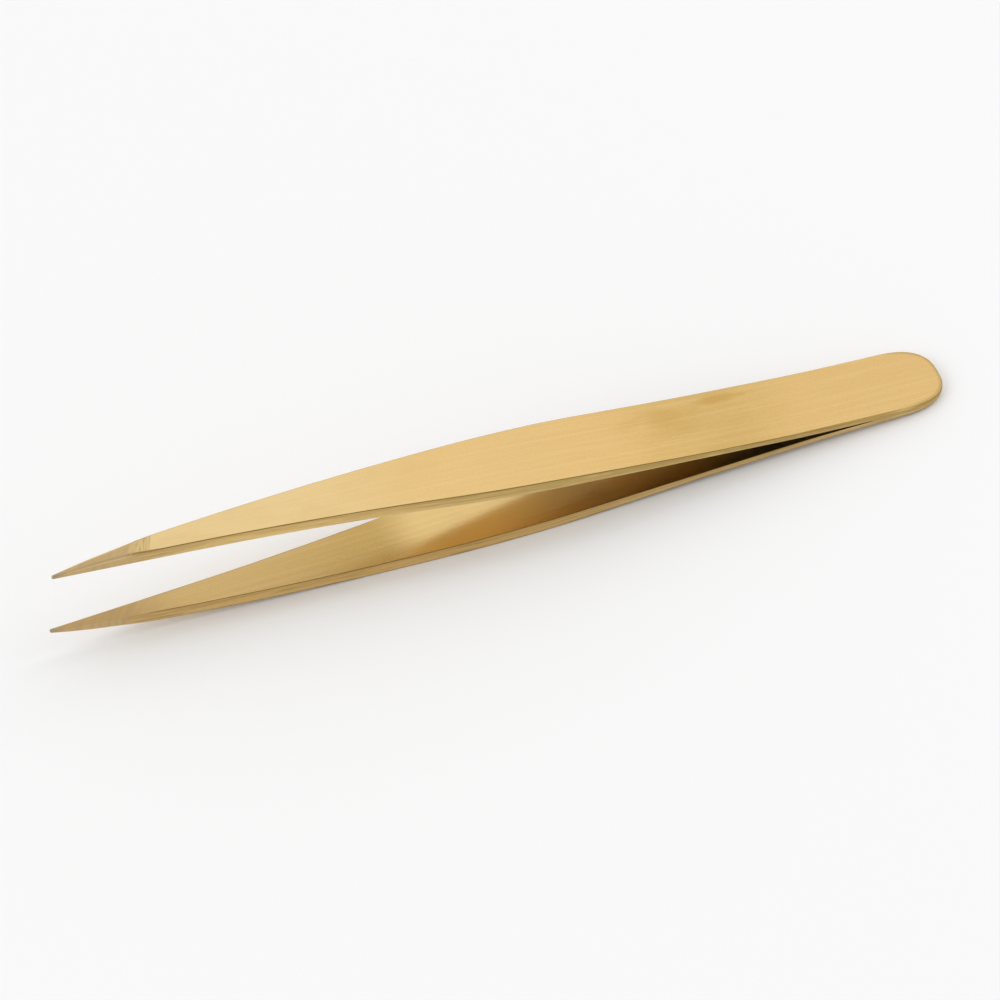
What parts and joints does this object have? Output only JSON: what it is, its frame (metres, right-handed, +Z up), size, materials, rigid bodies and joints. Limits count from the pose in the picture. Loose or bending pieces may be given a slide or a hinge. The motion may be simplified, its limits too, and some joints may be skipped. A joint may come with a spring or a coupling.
{
  "type": "stamp tongs",
  "caption": "Spring tongs with slender, finely pointed flat arms joined at a rounded heel, for lifting thin flat items without touching them.",
  "frame": {"origin": "bottom centre of the bounding box, on the surface that the open tongs lie on", "axes": "+X from the points to the heel, +Y across the arms, +Z up, from the lower arm to the upper arm"},
  "size_m": [0.1206, 0.0094, 0.0169],
  "materials": {
    "satin_brass": "satin, brushed lengthwise",
    "braze": "pale, matt"
  },
  "bodies": {
    "heel": {"upper_root": "satin_brass", "lower_root": "satin_brass", "heel_braze": "braze"},
    "upper_arm": {"upper_arm": "satin_brass"},
    "lower_arm": {"lower_arm": "satin_brass"}
  },
  "joints": [
    {"name": "upper_arm_flex", "type": "hinge", "parent": "heel", "child": "upper_arm", "pos_m": [0.03203, 0, 0.00448], "axis": [0, -1, 0], "range_deg": [0, 3.38], "stiffness_Nm_per_rad": 2.4},
    {"name": "lower_arm_flex", "type": "hinge", "parent": "heel", "child": "lower_arm", "pos_m": [0.03178, 0, 0.00133], "axis": [0, 1, 0], "range_deg": [0, 3.38], "stiffness_Nm_per_rad": 2.4}
  ]
}
